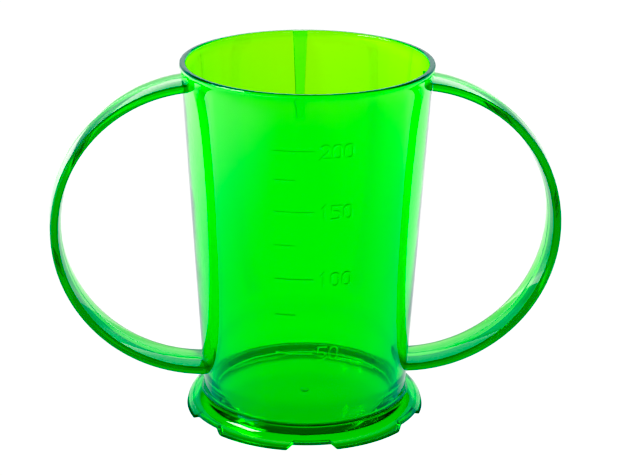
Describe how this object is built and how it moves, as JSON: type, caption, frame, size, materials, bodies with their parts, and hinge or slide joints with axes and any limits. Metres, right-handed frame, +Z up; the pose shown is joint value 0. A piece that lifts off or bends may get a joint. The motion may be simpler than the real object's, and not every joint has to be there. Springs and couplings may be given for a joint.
{
  "type": "two-handled beaker",
  "caption": "Open clear green plastic drinking beaker with a loop handle on each side, raised volume marks and a flared, notched foot.",
  "frame": {"origin": "centre of the ring of feet, on the surface that the beaker stands on", "axes": "+Z up along the cup's axis, handles along +X and -X, volume marks facing -Y"},
  "size_m": [0.1396, 0.0684, 0.099],
  "materials": {
    "clear_green_plastic": "polished, transparent",
    "clear_green_handle": "polished, transparent"
  },
  "bodies": {
    "root": {"cup_body": "clear_green_plastic", "handle_left": "clear_green_handle", "handle_right": "clear_green_handle"}
  },
  "joints": []
}
